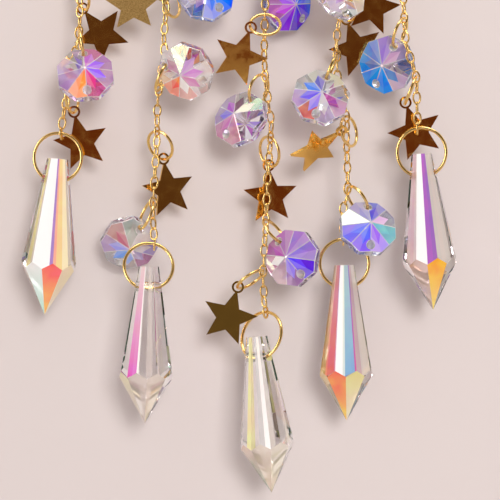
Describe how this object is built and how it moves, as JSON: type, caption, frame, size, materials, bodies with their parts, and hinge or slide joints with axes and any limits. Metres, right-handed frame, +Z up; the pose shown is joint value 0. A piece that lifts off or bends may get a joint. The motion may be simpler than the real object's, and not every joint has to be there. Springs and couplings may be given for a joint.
{
  "type": "crystal suncatcher",
  "caption": "Hanging suncatcher: a gold wire hoop with chains that carry faceted glass octagons, flat gold stars and long glass drops.",
  "frame": {"origin": "where the hanging eye rests on its hook, at the top inside of the eye", "axes": "+Z up, +X to the right as seen from the front, +Y to the back"},
  "size_m": [0.1057, 0.0224, 0.2438],
  "materials": {
    "gold_wire": "polished gold-coloured plating",
    "gold_plate": "mirror-polished gold-coloured plating",
    "crystal": "clear cut glass with an iridescent coating"
  },
  "bodies": {
    "root": {"hoop": "gold_wire", "chain_1": "gold_wire", "chain_2": "gold_wire", "chain_3": "gold_wire", "chain_4": "gold_wire", "chain_5": "gold_wire", "jump_ring_star_1_upper": "gold_wire", "jump_ring_octagon_1": "gold_wire", "jump_ring_star_1_lower": "gold_wire", "jump_ring_octagon_2_upper": "gold_wire", "jump_ring_star_2_upper": "gold_wire", "jump_ring_octagon_2_middle": "gold_wire", "jump_ring_star_2_lower": "gold_wire", "jump_ring_octagon_2_lower": "gold_wire", "jump_ring_octagon_3_upper": "gold_wire", "jump_ring_star_3_upper": "gold_wire", "jump_ring_octagon_3_middle": "gold_wire", "jump_ring_star_3_middle": "gold_wire", "jump_ring_octagon_3_lower": "gold_wire", "jump_ring_star_3_lower": "gold_wire", "jump_ring_octagon_4_upper": "gold_wire", "jump_ring_star_4_upper": "gold_wire", "jump_ring_octagon_4_middle": "gold_wire", "jump_ring_star_4_lower": "gold_wire", "jump_ring_octagon_4_lower": "gold_wire", "jump_ring_star_5_upper": "gold_wire", "jump_ring_octagon_5": "gold_wire", "jump_ring_star_5_lower": "gold_wire", "star_1_upper": "gold_plate", "octagon_1": "crystal", "star_1_lower": "gold_plate", "octagon_2_upper": "crystal", "star_2_upper": "gold_plate", "octagon_2_middle": "crystal", "star_2_lower": "gold_plate", "octagon_2_lower": "crystal", "octagon_3_upper": "crystal", "star_3_upper": "gold_plate", "octagon_3_middle": "crystal", "star_3_middle": "gold_plate", "octagon_3_lower": "crystal", "star_3_lower": "gold_plate", "octagon_4_upper": "crystal", "star_4_upper": "gold_plate", "octagon_4_middle": "crystal", "star_4_lower": "gold_plate", "octagon_4_lower": "crystal", "star_5_upper": "gold_plate", "octagon_5": "crystal", "star_5_lower": "gold_plate", "drop_ring_1": "gold_wire", "drop_ring_2": "gold_wire", "drop_ring_3": "gold_wire", "drop_ring_4": "gold_wire", "drop_ring_5": "gold_wire", "drop_1": "crystal", "drop_2": "crystal", "drop_3": "crystal", "drop_4": "crystal", "drop_5": "crystal"}
  },
  "joints": []
}
